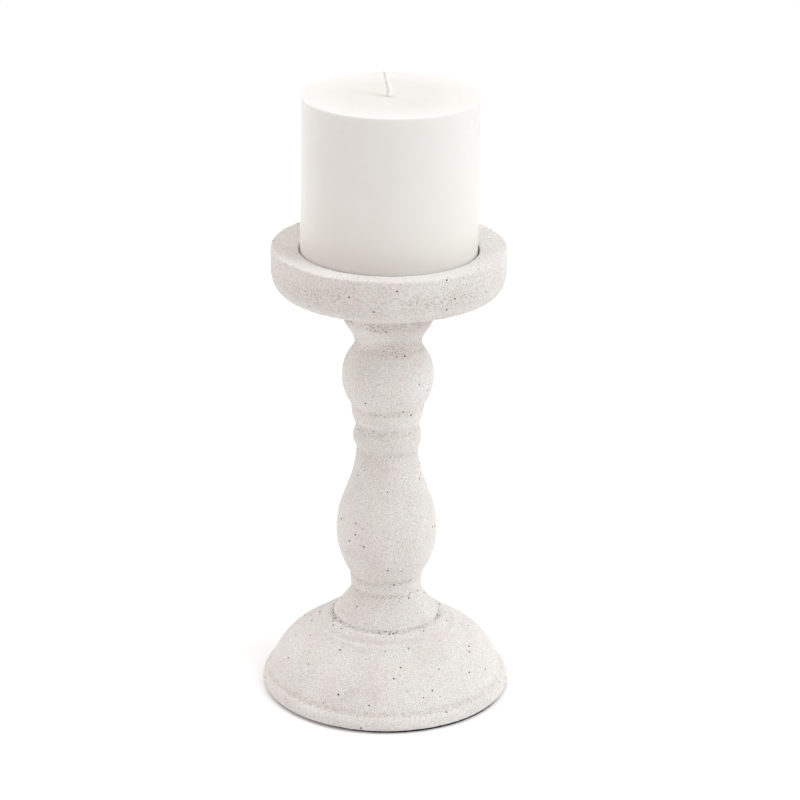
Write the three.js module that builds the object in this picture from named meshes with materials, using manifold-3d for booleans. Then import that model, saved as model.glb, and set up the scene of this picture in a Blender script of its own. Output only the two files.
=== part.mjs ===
// A turned wooden candlestick with a stone-textured coat, and the pillar candle that stands in it.
//
// Millimetres, +Z up. The origin is on the turning axis, at the height of the surface that the
// candlestick stands on. The foot, the stem and the tray are turned separately. Round tenons at
// both ends of the stem seat in sockets, and one wood screw at each end pulls the joint tight:
// the lower one comes up through the foot, the upper one goes down through the tray's floor.
// The candle only stands in the tray's recess.
import * as THREE from "three";
import { mergeVertices } from "three/addons/utils/BufferGeometryUtils.js";
import Module from "manifold-3d";

// Foot
const padThickness = 1.2;
const padInset = 2.2; // from the foot's widest edge to the pad's edge
const footRadius = 55.4;
const bandHeight = 5.4; // the rounded band round the foot's lower edge
const grooveHeight = 2.4; // the shallow groove above that band
const bandOverhang = 3.6; // how far the band stands out past the dome's lower edge
const domeHeight = 21.3;
const ledgeRadius = 31; // the small step on top of the dome
const ledgeHeight = 3.3;
const counterboreDepth = 12.5;

// Stem, from the foot up: each turned section's height and its widest or narrowest radius
const bellFootRadius = 23.9;
const bellFootHeight = 14.7;
const waistRadius = 15.6;
const collarRadius = 16.05;
const collarHeight = 5.3;
const bellyRadius = 22.5;
const belowBelly = 21.7;
const aboveBelly = 38.1;
const neckRadius = 13.65;
const beadRadius = 15.25;
const beadHeight = 11.9;
const beadGrooveRadius = 14.05;
const ringRadius = 16.05;
const ringHeight = 9.7;
const ballRadius = 20.2;
const belowBall = 12.6;
const aboveBall = 15.7;
const throatRadius = 14.75;
const coveHeight = 16;
const capRadius = 22.4;
const capHeight = 8.3;

// Tenons and sockets
const lowerTenonRadius = 9;
const lowerTenonLength = 11.3;
const upperTenonRadius = 8;
const upperTenonLength = 5;
const socketClearance = 0.15;
const tenonEndGap = 0.4;
const glueLine = 0.1; // between two faces that are pulled or glued together

// Tray
const rimWidth = 11.85;
const rimDish = 1.2; // how far the rim's top falls towards the candle
const recessDepth = 9.6;
const trayFloor = 10.2;
const trayEdgeWidth = 6; // the rounded lower edge, across and up
const trayEdgeHeight = 9.5;
const smallRound = 0.9;

// Candle
const candleRadius = 38.1;
const candleDraft = 0.35; // how much wider the candle is at its foot
const candleHeight = 76.2;
const candleGap = 0.8; // round the candle, in the recess
const candleEdgeRound = 1.4;
const wickRadius = 1.1;
const wickHoleClearance = 0.2;
const wickStub = 10.6;
const tabRadius = 10;
const tabThickness = 0.6;
const tabNeckRadius = 2.6;
const tabNeckHeight = 5;
const tabClearance = 0.3;

// Screws and washer
const screwRadius = 2.4;
const screwHoleClearance = 0.2;
const screwPointLength = 5;
const screwHeadRadius = 4.6;
const washerRadius = 6.5;
const washerThickness = 1.2;
const washerRoom = 1.5; // round the washer, in the counterbore
const panHeadHeight = 3.2;
const coneHeadHeight = 2.9;
const baseScrewLength = 38;
const trayScrewLength = 42;
const driveSlotLength = 5;
const driveSlotWidth = 1;
const driveSlotDepth = 1.6;

// How finely round shapes are divided
const turnSteps = 36;
const smallTurnSteps = 16;
const curveSteps = 4;

// Sizes that follow from the ones above
const padRadius = footRadius - padInset;
const domeRadius = footRadius - bandOverhang;
const counterboreRadius = washerRadius + washerRoom;
const candleFootRadius = candleRadius + candleDraft;
const recessRadius = candleFootRadius + candleGap;
const trayRadius = recessRadius + rimWidth;
const screwHoleRadius = screwRadius + screwHoleClearance;

// Levels
const footUnderside = padThickness + glueLine;
const footLedge = footUnderside + bandHeight + grooveHeight + domeHeight + ledgeHeight;
const stemSeat = footLedge + glueLine;
const stemTop =
  stemSeat + bellFootHeight + collarHeight + belowBelly + aboveBelly + beadHeight
  + ringHeight + belowBall + aboveBall + coveHeight + capHeight;
const trayUnderside = stemTop + glueLine;
const recessFloor = trayUnderside + trayFloor;
const rimTop = recessFloor + recessDepth;
const candleSeat = recessFloor + glueLine;
const candleTop = candleSeat + candleHeight;
const counterboreTop = footUnderside + counterboreDepth;
const washerUnderside = counterboreTop - glueLine - washerThickness;

const wasm = await Module();
wasm.setup();

const candlestick = new THREE.Group();

const looks = {
  coatedWood: { color: 0xddd4cb, roughness: 0.95, metalness: 0 },
  pad: { color: 0x1c1b1a, roughness: 0.9, metalness: 0 },
  steel: { color: 0xa8a9ab, roughness: 0.35, metalness: 1 },
  wax: { color: 0xf3efe6, roughness: 0.45, metalness: 0 },
  cotton: { color: 0xe6e1d4, roughness: 0.9, metalness: 0 },
};

// Adds one piece of the object under its own name.
function addPiece(name, geometry, look) {
  const piece = new THREE.Mesh(geometry, new THREE.MeshStandardMaterial(looks[look]));
  piece.name = name;
  candlestick.add(piece);
  return piece;
}

// Starts a half-section at a radius and a height.
function sectionFrom(radius, height) {
  const section = new THREE.Path();
  section.moveTo(radius, height);
  return section;
}

// Draws a curved flank from the section's end to a new radius and height. Each handle is given as
// shares of the change in radius and in height, both counted from where the flank starts.
function flankTo(section, radius, height, firstHandle, secondHandle) {
  const start = section.currentPoint;
  const out = radius - start.x;
  const rise = height - start.y;
  section.bezierCurveTo(
    start.x + firstHandle[0] * out,
    start.y + firstHandle[1] * rise,
    start.x + secondHandle[0] * out,
    start.y + secondHandle[1] * rise,
    radius,
    height,
  );
}

// Rounds a corner: the curve leaves the section's end towards the corner and arrives past it.
function roundTo(section, cornerRadius, cornerHeight, radius, height) {
  section.quadraticCurveTo(cornerRadius, cornerHeight, radius, height);
}

// Turns a half-section round the axis. A section that doesn't begin and end on the axis is closed
// on itself, which leaves a hole along the axis.
function turned(section, steps) {
  const points = section.getPoints(curveSteps);
  const onAxis = points[0].x === 0 && points[points.length - 1].x === 0;
  if (!onAxis) points.push(points[0].clone());
  return new THREE.LatheGeometry(points, steps).rotateX(Math.PI / 2);
}

function solidOf(geometry) {
  const bare = geometry.clone();
  bare.deleteAttribute("normal");
  bare.deleteAttribute("uv");
  const merged = mergeVertices(bare);
  const mesh = new wasm.Mesh({
    numProp: 3,
    vertProperties: merged.attributes.position.array,
    triVerts: new Uint32Array(merged.index.array),
  });
  return new wasm.Manifold(mesh);
}

function geometryOf(solid) {
  const { vertProperties, triVerts } = solid.getMesh();
  const geometry = new THREE.BufferGeometry();
  geometry.setAttribute("position", new THREE.BufferAttribute(vertProperties, 3));
  geometry.setIndex(new THREE.BufferAttribute(triVerts, 1));
  return geometry;
}

// A thin soft disc under the foot, which hides the screw's counterbore.
function makePad() {
  const section = sectionFrom(0, 0);
  section.lineTo(padRadius - padThickness / 4, 0);
  roundTo(section, padRadius, 0, padRadius, padThickness / 4);
  section.lineTo(padRadius, padThickness);
  section.lineTo(0, padThickness);
  addPiece("base_pad", turned(section, turnSteps), "pad");
}

// The foot: a rounded band, a groove, a dome, and a small ledge round the socket for the stem.
function makeFoot() {
  const bandTop = footUnderside + bandHeight;
  const domeStart = bandTop + grooveHeight;
  const domeTop = domeStart + domeHeight;
  const bandNose = footUnderside + 0.35 * bandHeight;
  const socketRadius = lowerTenonRadius + socketClearance;
  const socketFloor = footLedge - lowerTenonLength - tenonEndGap;
  const ledgeWidth = ledgeRadius - bellFootRadius;
  const ledgeRise = footLedge - domeTop;
  const bandCorner = footRadius - smallRound;

  const section = sectionFrom(counterboreRadius, footUnderside);
  section.lineTo(bandCorner, footUnderside);
  roundTo(section, footRadius, footUnderside, footRadius, bandNose);
  roundTo(section, footRadius - 0.1, bandTop - smallRound, domeRadius + 1.3, bandTop);
  roundTo(section, domeRadius + 0.1, bandTop + 0.35 * grooveHeight, domeRadius, domeStart);
  flankTo(section, ledgeRadius, domeTop, [0.29, 0.7], [0.68, 0.72]);
  roundTo(section, ledgeRadius - 0.3 * ledgeWidth, domeTop + 0.05 * ledgeRise,
    ledgeRadius - 0.42 * ledgeWidth, domeTop + 0.6 * ledgeRise);
  roundTo(section, bellFootRadius + 0.35 * ledgeWidth, footLedge, bellFootRadius, footLedge);
  section.lineTo(socketRadius, footLedge);
  section.lineTo(socketRadius, socketFloor);
  section.lineTo(screwHoleRadius, socketFloor);
  section.lineTo(screwHoleRadius, counterboreTop);
  section.lineTo(counterboreRadius, counterboreTop);
  addPiece("base", turned(section, turnSteps), "coatedWood");
}

// The stem's outer flank, section by section, from the seat on the foot to the seat of the tray.
function turnStemFlank(section) {
  let level = stemSeat;
  const rise = (height) => (level += height);

  section.lineTo(bellFootRadius - 0.2, level);
  roundTo(section, bellFootRadius + 0.1, level + 0.7, bellFootRadius - 0.4, level + 1.4);
  flankTo(section, waistRadius, rise(bellFootHeight), [0.43, 0.42], [1, 0.64]);
  flankTo(section, collarRadius, rise(collarHeight), [1, 0.25], [1.3, 0.75]);
  flankTo(section, bellyRadius, rise(belowBelly), [0, 0.08], [1, 0.42]);
  flankTo(section, neckRadius, rise(aboveBelly), [0, 0.41], [0.87, 0.52]);
  flankTo(section, beadRadius, rise(beadHeight * 0.52), [0, 0.35], [1, 0.6]);
  flankTo(section, beadGrooveRadius, rise(beadHeight * 0.48), [0, 0.35], [1, 0.6]);
  flankTo(section, ringRadius, rise(ringHeight), [0.55, 0.37], [1, 0.35]);
  flankTo(section, ballRadius, rise(belowBall), [0.7, 0.31], [1, 0.7]);
  flankTo(section, throatRadius, rise(aboveBall), [0, 0.65], [0.92, 0.77]);
  const capEdge = capRadius - smallRound;
  flankTo(section, capEdge, rise(coveHeight), [0.04, 0.38], [0.53, 0.32]);
  roundTo(section, capRadius, level + 0.15 * capHeight, capRadius, level + capHeight / 2);
  roundTo(section, capRadius, level + 0.85 * capHeight, capEdge, rise(capHeight));
}

// The spindle, with a tenon and a screw's pilot hole at each end.
function makeStem() {
  const lowerTenonEnd = stemSeat - lowerTenonLength;
  const upperTenonEnd = stemTop + upperTenonLength;
  const lowerHoleEnd = washerUnderside + baseScrewLength + tenonEndGap;
  const upperHoleEnd = recessFloor - trayScrewLength - tenonEndGap;

  const section = sectionFrom(0, lowerHoleEnd);
  section.lineTo(screwHoleRadius, lowerHoleEnd - screwPointLength);
  section.lineTo(screwHoleRadius, lowerTenonEnd);
  section.lineTo(lowerTenonRadius - tenonEndGap, lowerTenonEnd);
  section.lineTo(lowerTenonRadius, lowerTenonEnd + tenonEndGap);
  section.lineTo(lowerTenonRadius, stemSeat);
  turnStemFlank(section);
  section.lineTo(upperTenonRadius, stemTop);
  section.lineTo(upperTenonRadius, upperTenonEnd - tenonEndGap);
  section.lineTo(upperTenonRadius - tenonEndGap, upperTenonEnd);
  section.lineTo(screwHoleRadius, upperTenonEnd);
  section.lineTo(screwHoleRadius, upperHoleEnd + screwPointLength);
  section.lineTo(0, upperHoleEnd);
  addPiece("stem", turned(section, turnSteps), "coatedWood");
}

// The tray: a shallow dish with a broad rim, countersunk in its floor for the upper screw.
function makeTray() {
  const socketRadius = upperTenonRadius + socketClearance;
  const socketTop = trayUnderside + upperTenonLength + tenonEndGap;
  const sinkRadius = screwHeadRadius + tenonEndGap;
  const sinkDepth = coneHeadHeight + tenonEndGap;
  const rimInner = rimTop - rimDish;

  const section = sectionFrom(socketRadius, trayUnderside);
  section.lineTo(trayRadius - trayEdgeWidth, trayUnderside);
  roundTo(section, trayRadius - 0.1 * trayEdgeWidth, trayUnderside + 0.1 * trayEdgeHeight,
    trayRadius, trayUnderside + trayEdgeHeight);
  section.lineTo(trayRadius, rimTop - smallRound);
  roundTo(section, trayRadius, rimTop, trayRadius - smallRound, rimTop);
  section.lineTo(recessRadius + smallRound, rimInner);
  roundTo(section, recessRadius, rimInner, recessRadius, rimInner - smallRound);
  section.lineTo(recessRadius, recessFloor + smallRound);
  roundTo(section, recessRadius, recessFloor, recessRadius - smallRound, recessFloor);
  section.lineTo(sinkRadius, recessFloor);
  section.lineTo(screwHoleRadius, recessFloor - sinkDepth);
  section.lineTo(screwHoleRadius, socketTop);
  section.lineTo(socketRadius, socketTop);
  addPiece("tray", turned(section, turnSteps), "coatedWood");
}

// Two crossed slots, sunk into a screw's head from the level of its face. They run inward along
// the given direction, up or down the axis.
function driveSlots(faceLevel, inward) {
  const reach = 2 * driveSlotDepth;
  const across = new THREE.BoxGeometry(driveSlotLength, driveSlotWidth, reach);
  const along = new THREE.BoxGeometry(driveSlotWidth, driveSlotLength, reach);
  const slots = solidOf(across).add(solidOf(along));
  return slots.translate([0, 0, faceLevel + inward * (driveSlotDepth - reach / 2)]);
}

// The lower screw, driven upwards: a pan head against the washer in the foot's counterbore.
function makeBaseScrew() {
  const headTop = washerUnderside - glueLine;
  const headFace = headTop - panHeadHeight;
  const tip = washerUnderside + baseScrewLength;
  const section = sectionFrom(0, headFace);
  section.lineTo(screwHeadRadius * 0.6, headFace);
  roundTo(section, screwHeadRadius, headFace, screwHeadRadius, headFace + panHeadHeight * 0.7);
  section.lineTo(screwHeadRadius, headTop);
  section.lineTo(screwRadius, headTop);
  section.lineTo(screwRadius, tip - screwPointLength);
  section.lineTo(0, tip);
  const screw = solidOf(turned(section, smallTurnSteps)).subtract(driveSlots(headFace, 1));
  addPiece("base_screw", geometryOf(screw), "steel");
}

function makeWasher() {
  const section = sectionFrom(screwHoleRadius, washerUnderside);
  section.lineTo(washerRadius, washerUnderside);
  section.lineTo(washerRadius, washerUnderside + washerThickness);
  section.lineTo(screwHoleRadius, washerUnderside + washerThickness);
  addPiece("base_washer", turned(section, smallTurnSteps), "steel");
}

// The upper screw, driven downwards: its cone head lies just under the recess's floor.
function makeTrayScrew() {
  const headFace = recessFloor - glueLine;
  const tip = recessFloor - trayScrewLength;
  const section = sectionFrom(0, tip);
  section.lineTo(screwRadius, tip + screwPointLength);
  section.lineTo(screwRadius, headFace - coneHeadHeight);
  section.lineTo(screwHeadRadius, headFace - tenonEndGap / 2);
  section.lineTo(screwHeadRadius, headFace);
  section.lineTo(0, headFace);
  const screw = solidOf(turned(section, smallTurnSteps)).subtract(driveSlots(headFace, -1));
  addPiece("tray_screw", geometryOf(screw), "steel");
}

// The wax: a plain pillar with a hole for the wick and a pocket for the wick's tab underneath.
function makeCandle() {
  const holeRadius = wickRadius + wickHoleClearance;
  const pocketTop = candleSeat + tabThickness + tabClearance;
  const neckPocketTop = pocketTop + tabNeckHeight;
  const section = sectionFrom(tabRadius + tabClearance, candleSeat);
  section.lineTo(candleFootRadius - smallRound, candleSeat);
  roundTo(section, candleFootRadius, candleSeat, candleFootRadius, candleSeat + smallRound);
  section.lineTo(candleRadius, candleTop - candleEdgeRound);
  roundTo(section, candleRadius, candleTop, candleRadius - candleEdgeRound, candleTop);
  section.lineTo(holeRadius, candleTop);
  section.lineTo(holeRadius, neckPocketTop);
  section.lineTo(tabNeckRadius + tabClearance, neckPocketTop);
  section.lineTo(tabNeckRadius + tabClearance, pocketTop);
  section.lineTo(tabRadius + tabClearance, pocketTop);
  addPiece("candle", turned(section, turnSteps), "wax");
}

// The tin tab that holds the wick's lower end: a thin disc with a crimped neck.
function makeWickTab() {
  const underside = candleSeat + tabClearance / 2;
  const holeRadius = wickRadius + wickHoleClearance;
  const section = sectionFrom(holeRadius, underside);
  section.lineTo(tabRadius, underside);
  section.lineTo(tabRadius, underside + tabThickness);
  section.lineTo(tabNeckRadius, underside + tabThickness);
  section.lineTo(tabNeckRadius, underside + tabNeckHeight);
  section.lineTo(holeRadius, underside + tabNeckHeight);
  addPiece("wick_tab", turned(section, smallTurnSteps), "steel");
}

// The wick: straight up through the wax, then a stub that leans and curls a little.
function makeWick() {
  const route = new THREE.CatmullRomCurve3([
    new THREE.Vector3(0, 0, candleSeat + tabClearance),
    new THREE.Vector3(0, 0, candleSeat + candleHeight / 2),
    new THREE.Vector3(0, 0, candleTop),
    new THREE.Vector3(-0.15, -0.1, candleTop + 0.2 * wickStub),
    new THREE.Vector3(-0.2, -0.35, candleTop + 0.4 * wickStub),
    new THREE.Vector3(-1.1, -0.7, candleTop + 0.7 * wickStub),
    new THREE.Vector3(-1.9, -0.7, candleTop + wickStub),
  ]);
  const outline = new THREE.Shape();
  outline.absarc(0, 0, wickRadius, 0, 2 * Math.PI);
  const geometry = new THREE.ExtrudeGeometry(outline, {
    steps: 24,
    curveSegments: 4,
    extrudePath: route,
  });
  addPiece("wick", geometry, "cotton");
}

makePad();
makeFoot();
makeStem();
makeTray();
makeBaseScrew();
makeWasher();
makeTrayScrew();
makeCandle();
makeWickTab();
makeWick();

export default candlestick;
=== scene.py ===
import math

import bpy
import numpy as np
from mathutils import Matrix, Vector, noise


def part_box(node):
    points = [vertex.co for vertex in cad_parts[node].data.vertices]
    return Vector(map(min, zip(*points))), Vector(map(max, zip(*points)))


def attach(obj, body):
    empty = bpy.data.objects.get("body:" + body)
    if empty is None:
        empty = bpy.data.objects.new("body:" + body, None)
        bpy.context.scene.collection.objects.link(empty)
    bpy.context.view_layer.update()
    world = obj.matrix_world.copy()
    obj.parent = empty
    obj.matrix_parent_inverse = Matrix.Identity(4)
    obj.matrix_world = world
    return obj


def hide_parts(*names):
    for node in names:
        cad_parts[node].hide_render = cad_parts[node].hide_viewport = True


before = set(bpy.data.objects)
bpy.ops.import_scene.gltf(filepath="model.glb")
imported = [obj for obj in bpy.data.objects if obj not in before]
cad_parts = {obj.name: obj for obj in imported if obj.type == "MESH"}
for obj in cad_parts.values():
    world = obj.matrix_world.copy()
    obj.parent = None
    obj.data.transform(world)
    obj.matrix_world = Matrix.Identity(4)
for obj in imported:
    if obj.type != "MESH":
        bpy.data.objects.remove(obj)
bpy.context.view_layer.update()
mm = 0.001
print("candlestick: frame loaded")


# heights and radii that the pieces share, in millimetres, read from the frame

def lowOf(node):
    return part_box(node)[0].z / mm


def highOf(node):
    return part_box(node)[1].z / mm


def radiusOf(node):
    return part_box(node)[1].x / mm


# half-sections: drawn as (radius, height) in millimetres, from the underside outwards and up

class Section:
    def __init__(self, radius, height):
        self.points = [(radius, height)]
        self.bare = []      # one flag for each stretch: True where the coat doesn't reach

    def follow(self, curve, cell, bare):
        rough = [curve(k / 40) for k in range(41)]
        length = sum(math.dist(a, b) for a, b in zip(rough, rough[1:]))
        steps = max(1, round(length / cell))
        self.points += [curve(k / steps) for k in range(1, steps + 1)]
        self.bare += [bare] * steps

    def lineTo(self, radius, height, cell=0.5, bare=False):
        r, z = self.points[-1]
        self.follow(lambda t: (r + (radius - r) * t, z + (height - z) * t), cell, bare)

    def roundTo(self, cornerRadius, cornerHeight, radius, height, cell=0.5):
        start, corner, end = self.points[-1], (cornerRadius, cornerHeight), (radius, height)
        def curve(t):
            return tuple((1 - t) ** 2 * a + 2 * (1 - t) * t * b + t * t * c
                         for a, b, c in zip(start, corner, end))
        self.follow(curve, cell, False)

    # the handles are shares of the change in radius and height, as in a turner's template
    def flankTo(self, radius, height, first, second, cell=0.5):
        r, z = self.points[-1]
        out, rise = radius - r, height - z
        corners = [(r, z), (r + first[0] * out, z + first[1] * rise),
                   (r + second[0] * out, z + second[1] * rise), (radius, height)]
        def curve(t):
            weights = ((1 - t) ** 3, 3 * (1 - t) ** 2 * t, 3 * (1 - t) * t * t, t ** 3)
            return tuple(sum(w * c[k] for w, c in zip(weights, corners)) for k in (0, 1))
        self.follow(curve, cell, False)


# how hollow the section is at each point, 0 on flats and swells, 1 in the bottom of a groove
def hollowness(points, reach=1.3, fullTurn=0.45):
    p = np.array(points)
    step = np.diff(p, axis=0)
    length = np.hypot(step[:, 0], step[:, 1])
    heading = np.unwrap(np.arctan2(step[:, 1], step[:, 0]))
    along = np.concatenate([[0], np.cumsum(length)])
    turn = np.zeros(len(p))
    turn[1:-1] = -np.diff(heading)      # left turns are swells, so right turns are hollows
    near = np.exp(-0.5 * ((along[:, None] - along[None, :]) / reach) ** 2)
    return np.clip((near @ turn) / fullTurn, 0, 1)


# a fine uneven relief along each vertex's normal, in millimetres
def gritRelief(places, normals, amount, seed):
    rng = np.random.default_rng(seed)
    relief = np.zeros(len(places))
    for size, height in amount["waves"]:
        shift = Vector(rng.uniform(-50, 50, 3))
        relief += height * np.array([noise.noise(Vector(p) / size + shift) for p in places])
    relief += amount["grains"] * rng.standard_normal(len(places)).clip(-2.5, 2.5)
    lumps = rng.random(len(places)) < amount["lumpShare"]
    relief[lumps] += amount["lumpHeight"] * rng.uniform(0.4, 1, lumps.sum())
    return normals * relief[:, None]


# turns a section into a mesh; shape may move each point by its radius, height and angle;
# joints are rings of dark grit, which also paint shade under the tray and over its edge (radius, height,
# reach, share), and the height scale sets how much dust and painted shade the hollows get
def turnPiece(name, section, columns, shape=None, grit=None, seed=1, joints=(), dustAndShadeScale=None):
    points = section.points
    onAxis = points[0][0] == 0 and points[-1][0] == 0
    bare = list(section.bare)
    if not onAxis:
        points = points[:-1] if math.dist(points[0], points[-1]) < 1e-6 else points
        bare = bare + [bare[-1]] * (len(points) - len(bare))
    hollow = hollowness(points)
    # scales the hollows' dust and painted shade by height
    if dustAndShadeScale:
        hollow = hollow * np.array([dustAndShadeScale(height) for radius, height in points])
    joined = np.zeros(len(points))
    for radius, height, reach, share in joints:
        away = np.array([math.dist((radius, height), p) for p in points])
        joined = np.maximum(joined, share * np.exp(-(away / reach) ** 2))
    angles = np.arange(columns) * 2 * math.pi / columns
    places, firsts, rings, creases, seams = [], [], [], [], []
    count = 0
    for (radius, height), crease, seam in zip(points, hollow, joined):
        ring = np.array([0.0]) if radius == 0 else angles
        r, z = np.full(len(ring), radius), np.full(len(ring), height)
        if shape and radius > 0:
            r, z = shape(r, z, ring)
        places.append(np.stack([r * np.cos(ring), r * np.sin(ring), z], axis=1))
        creases.append(np.full(len(ring), crease))
        seams.append(np.full(len(ring), seam))
        firsts.append(count)
        rings.append(len(ring))
        count += len(ring)
    faces, slots = [], []
    last = len(points) - 1
    for row in range(len(points) if not onAxis else last):
        below, above = row, (row + 1) % len(points)
        j = np.arange(columns)
        k = (j + 1) % columns
        if rings[below] == 1:
            quads = np.stack([np.full(columns, firsts[below]), firsts[above] + k, firsts[above] + j], axis=1)
        elif rings[above] == 1:
            quads = np.stack([firsts[below] + j, firsts[below] + k, np.full(columns, firsts[above])], axis=1)
        else:
            quads = np.stack([firsts[below] + j, firsts[below] + k,
                              firsts[above] + k, firsts[above] + j], axis=1)
        faces += quads.tolist()
        slots += [1 if bare[min(row, len(bare) - 1)] else 0] * columns
    places = np.concatenate(places)
    mesh = bpy.data.meshes.new(name)
    mesh.from_pydata((places * mm).tolist(), [], faces)
    mesh.update()
    if grit:
        normals = np.empty(len(places) * 3, np.float32)
        mesh.vertices.foreach_get("normal", normals)
        skin = np.zeros(len(places))
        for f, bareFace in zip(faces, slots):
            if not bareFace:
                skin[f] = 1
        moved = places + gritRelief(places, normals.reshape(-1, 3), grit, seed) * skin[:, None]
        mesh.vertices.foreach_set("co", (moved * mm).astype(np.float32).ravel())
    mesh.polygons.foreach_set("use_smooth", np.ones(len(faces), bool))
    mesh.polygons.foreach_set("material_index", np.array(slots, np.int32))
    for label, values in (("crevice", creases), ("joint", seams)):
        mask = mesh.attributes.new(label, "FLOAT", "POINT")
        mask.data.foreach_set("value", np.concatenate(values).astype(np.float32))
    mesh.update()
    piece = bpy.data.objects.new(name, mesh)
    bpy.context.scene.collection.objects.link(piece)
    return piece


def fitPiece(piece, node, body, slot, *materials):
    for material in materials:
        piece.data.materials.append(material)
    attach(piece, body)
    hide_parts(node)
    print("candlestick:", piece.name, "made,", len(piece.data.polygons), "faces")


# small helpers for shader trees

def addNode(tree, kind, x=0, y=0, **settings):
    node = tree.nodes.new(kind)
    node.location = (x, y)
    for key, value in settings.items():
        setattr(node, key, value)
    return node


def setInputs(node, values):
    for key, value in values.items():
        node.inputs[key].default_value = value


def startGroup(name, inputs, outputs):
    tree = bpy.data.node_groups.new(name, "ShaderNodeTree")
    for label, value in inputs.items():
        socket = tree.interface.new_socket(label, in_out="INPUT", socket_type="NodeSocketFloat")
        socket.default_value = value
    for label in outputs:
        tree.interface.new_socket(label, in_out="OUTPUT", socket_type="NodeSocketFloat")
    return tree, addNode(tree, "NodeGroupInput", -900), addNode(tree, "NodeGroupOutput", 700)


def useGroup(tree, group, values, x=-700, y=0):
    node = addNode(tree, "ShaderNodeGroup", x, y, node_tree=group)
    setInputs(node, values)
    return node


def startMaterial(name, values):
    material = bpy.data.materials.new(name)
    material.use_nodes = True
    tree = material.node_tree
    shader = tree.nodes["Principled BSDF"]
    setInputs(shader, values)
    return material, tree, shader


# mixes two colours by a value socket; each colour is a socket or a plain colour
def mixColours(tree, first, second, share, x=-200, y=0, blend="MIX"):
    node = addNode(tree, "ShaderNodeMix", x, y, data_type="RGBA", blend_type=blend)
    for index, colour in ((6, first), (7, second)):
        if isinstance(colour, (tuple, list)):
            node.inputs[index].default_value = (*colour, 1)
        else:
            tree.links.new(colour, node.inputs[index])
    if isinstance(share, float):
        node.inputs[0].default_value = share
    else:
        tree.links.new(share, node.inputs[0])
    return node.outputs[2]


def math2(tree, operation, first, second, x=-300, y=0, clamp=False):
    node = addNode(tree, "ShaderNodeMath", x, y, operation=operation, use_clamp=clamp)
    for index, value in enumerate((first, second)):
        if isinstance(value, (int, float)):
            node.inputs[index].default_value = value
        elif value is not None:
            tree.links.new(value, node.inputs[index])
    return node.outputs[0]


def rampBetween(tree, value, low, high, x=-300, y=0, outLow=0.0, outHigh=1.0):
    node = addNode(tree, "ShaderNodeMapRange", x, y, interpolation_type="SMOOTHSTEP")
    tree.links.new(value, node.inputs["Value"])
    setInputs(node, {"From Min": low, "From Max": high, "To Min": outLow, "To Max": outHigh})
    return node.outputs[0]


# fine grain: light and dark grains of a set size, and the height that goes with them
def buildGrainGroup():
    tree, given, out = startGroup("fineGrain", {"Grain Size mm": 0.5, "Contrast": 0.5}, ["Grain", "Height"])
    place = addNode(tree, "ShaderNodeTexCoord", -900, 300)
    scale = math2(tree, "DIVIDE", 1000, given.outputs["Grain Size mm"], -700, 200)
    half = math2(tree, "MULTIPLY", scale, 0.47, -700, 0)
    fine = addNode(tree, "ShaderNodeTexNoise", -450, 250)
    coarse = addNode(tree, "ShaderNodeTexNoise", -450, -50)
    setInputs(fine, {"Detail": 2.0, "Roughness": 0.6})
    setInputs(coarse, {"Detail": 1.0, "Roughness": 0.5})
    for texture, size in ((fine, scale), (coarse, half)):
        tree.links.new(place.outputs["Object"], texture.inputs["Vector"])
        tree.links.new(size, texture.inputs["Scale"])
    both = math2(tree, "ADD", math2(tree, "MULTIPLY", fine.outputs[0], 0.65, -200, 250),
                 math2(tree, "MULTIPLY", coarse.outputs[0], 0.35, -200, 0), 0, 150)
    centred = math2(tree, "SUBTRACT", both, 0.5, 150, 150)
    spread = math2(tree, "MULTIPLY", centred, given.outputs["Contrast"], 300, 150)
    tree.links.new(math2(tree, "ADD", spread, 0.5, 450, 150, True), out.inputs["Grain"])
    tree.links.new(both, out.inputs["Height"])
    return tree


# loose flecks: sparse round grains, each with its own strength
def buildFleckGroup():
    given = {"Spacing mm": 3.0, "Radius mm": 0.25, "Kept": 1.0, "Least": 0.45}
    tree, given, out = startGroup("looseFlecks", given, ["Mask"])
    place = addNode(tree, "ShaderNodeTexCoord", -900, 300)
    scale = math2(tree, "DIVIDE", 1000, given.outputs["Spacing mm"], -700, 200)
    cells = addNode(tree, "ShaderNodeTexVoronoi", -450, 200)
    tree.links.new(place.outputs["Object"], cells.inputs["Vector"])
    tree.links.new(scale, cells.inputs["Scale"])
    radius = math2(tree, "DIVIDE", given.outputs["Radius mm"], given.outputs["Spacing mm"], -450, -100)
    reach = math2(tree, "SUBTRACT", radius, cells.outputs["Distance"], -200, 100)
    edge = math2(tree, "MULTIPLY", radius, 0.22, -200, -100)
    spot = math2(tree, "DIVIDE", reach, edge, 0, 100, True)
    split = addNode(tree, "ShaderNodeSeparateColor", -200, 350)
    tree.links.new(cells.outputs["Color"], split.inputs[0])
    kept = math2(tree, "LESS_THAN", split.outputs[0], given.outputs["Kept"], 0, 350)
    room = math2(tree, "SUBTRACT", 1.0, given.outputs["Least"], -200, 600)
    strength = math2(tree, "ADD", math2(tree, "MULTIPLY", split.outputs[1], room, 0, 550),
                     given.outputs["Least"], 150, 550)
    mask = math2(tree, "MULTIPLY", spot, kept, 200, 200)
    tree.links.new(math2(tree, "MULTIPLY", mask, strength, 400, 200), out.inputs["Mask"])
    return tree


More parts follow.
